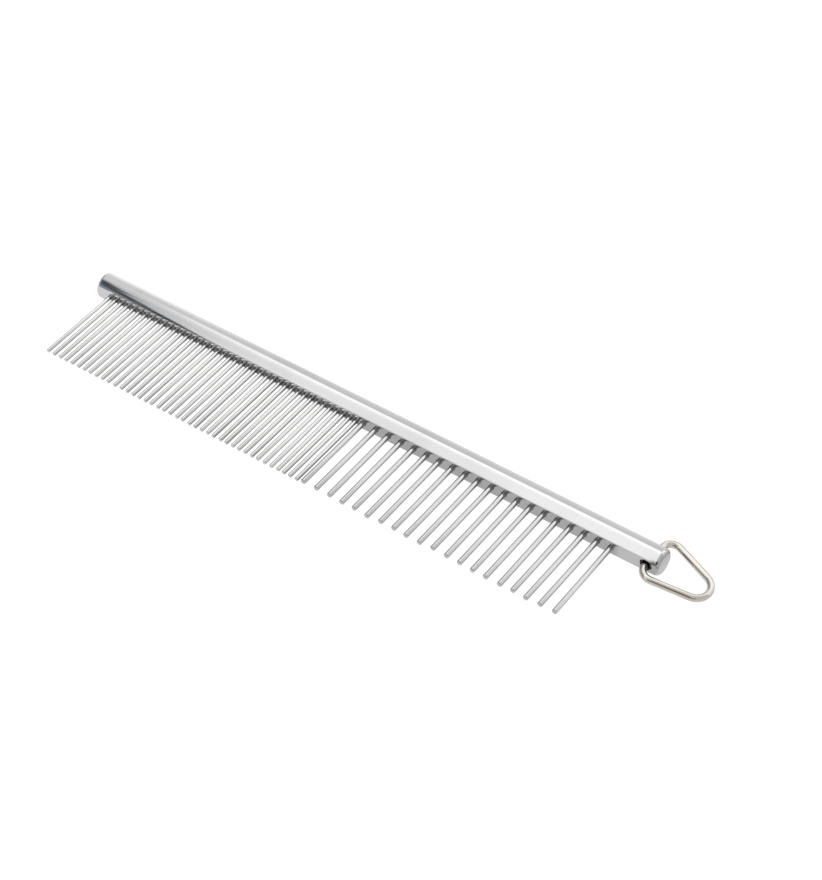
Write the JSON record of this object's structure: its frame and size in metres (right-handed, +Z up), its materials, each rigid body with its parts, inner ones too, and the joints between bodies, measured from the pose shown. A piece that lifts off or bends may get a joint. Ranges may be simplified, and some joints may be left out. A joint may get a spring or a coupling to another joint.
{
  "type": "steel grooming comb",
  "caption": "Pet grooming comb: round chromed bar with pressed-in steel pins, close-set on one half and wide-set on the other, and a loose wire ring to hang it by.",
  "frame": {"origin": "on the table, under the middle of the bounding box, with the comb lying at rest on the underside of its bar and the tips of its coarse teeth", "axes": "+X along the bar towards the hanging ring; +Y away from the teeth, level; +Z up. The tooth row tilts down by 5.93 degrees towards -Y, as the comb lies"},
  "size_m": [0.2048, 0.0404, 0.008],
  "materials": {
    "spine_chrome": "bright chrome plate over steel, mirror polish with faint lengthwise polishing lines",
    "tooth_steel": "polished and plated steel pins with smooth domed tips",
    "ring_nickel": "warm-toned bright nickel plate on bent steel wire"
  },
  "bodies": {
    "comb": {"spine_bar": "spine_chrome", "fine_tooth_01": "tooth_steel", "fine_tooth_02": "tooth_steel", "fine_tooth_03": "tooth_steel", "fine_tooth_04": "tooth_steel", "fine_tooth_05": "tooth_steel", "fine_tooth_06": "tooth_steel", "fine_tooth_07": "tooth_steel", "fine_tooth_08": "tooth_steel", "fine_tooth_09": "tooth_steel", "fine_tooth_10": "tooth_steel", "fine_tooth_11": "tooth_steel", "fine_tooth_12": "tooth_steel", "fine_tooth_13": "tooth_steel", "fine_tooth_14": "tooth_steel", "fine_tooth_15": "tooth_steel", "fine_tooth_16": "tooth_steel", "fine_tooth_17": "tooth_steel", "fine_tooth_18": "tooth_steel", "fine_tooth_19": "tooth_steel", "fine_tooth_20": "tooth_steel", "fine_tooth_21": "tooth_steel", "fine_tooth_22": "tooth_steel", "fine_tooth_23": "tooth_steel", "fine_tooth_24": "tooth_steel", "fine_tooth_25": "tooth_steel", "fine_tooth_26": "tooth_steel", "fine_tooth_27": "tooth_steel", "fine_tooth_28": "tooth_steel", "fine_tooth_29": "tooth_steel", "fine_tooth_30": "tooth_steel", "fine_tooth_31": "tooth_steel", "fine_tooth_32": "tooth_steel", "fine_tooth_33": "tooth_steel", "fine_tooth_34": "tooth_steel", "fine_tooth_35": "tooth_steel", "fine_tooth_36": "tooth_steel", "fine_tooth_37": "tooth_steel", "fine_tooth_38": "tooth_steel", "fine_tooth_39": "tooth_steel", "fine_tooth_40": "tooth_steel", "fine_tooth_41": "tooth_steel", "coarse_tooth_01": "tooth_steel", "coarse_tooth_02": "tooth_steel", "coarse_tooth_03": "tooth_steel", "coarse_tooth_04": "tooth_steel", "coarse_tooth_05": "tooth_steel", "coarse_tooth_06": "tooth_steel", "coarse_tooth_07": "tooth_steel", "coarse_tooth_08": "tooth_steel", "coarse_tooth_09": "tooth_steel", "coarse_tooth_10": "tooth_steel", "coarse_tooth_11": "tooth_steel", "coarse_tooth_12": "tooth_steel", "coarse_tooth_13": "tooth_steel", "coarse_tooth_14": "tooth_steel", "coarse_tooth_15": "tooth_steel", "coarse_tooth_16": "tooth_steel", "coarse_tooth_17": "tooth_steel"},
    "ring": {"hanging_ring": "ring_nickel"}
  },
  "joints": [
    {"name": "ring_swing", "type": "hinge", "parent": "comb", "child": "ring", "pos_m": [0.08357, 0.01124, 0.004], "axis": [0, -0.9947, -0.1033], "range_deg": [-153, 171]}
  ]
}
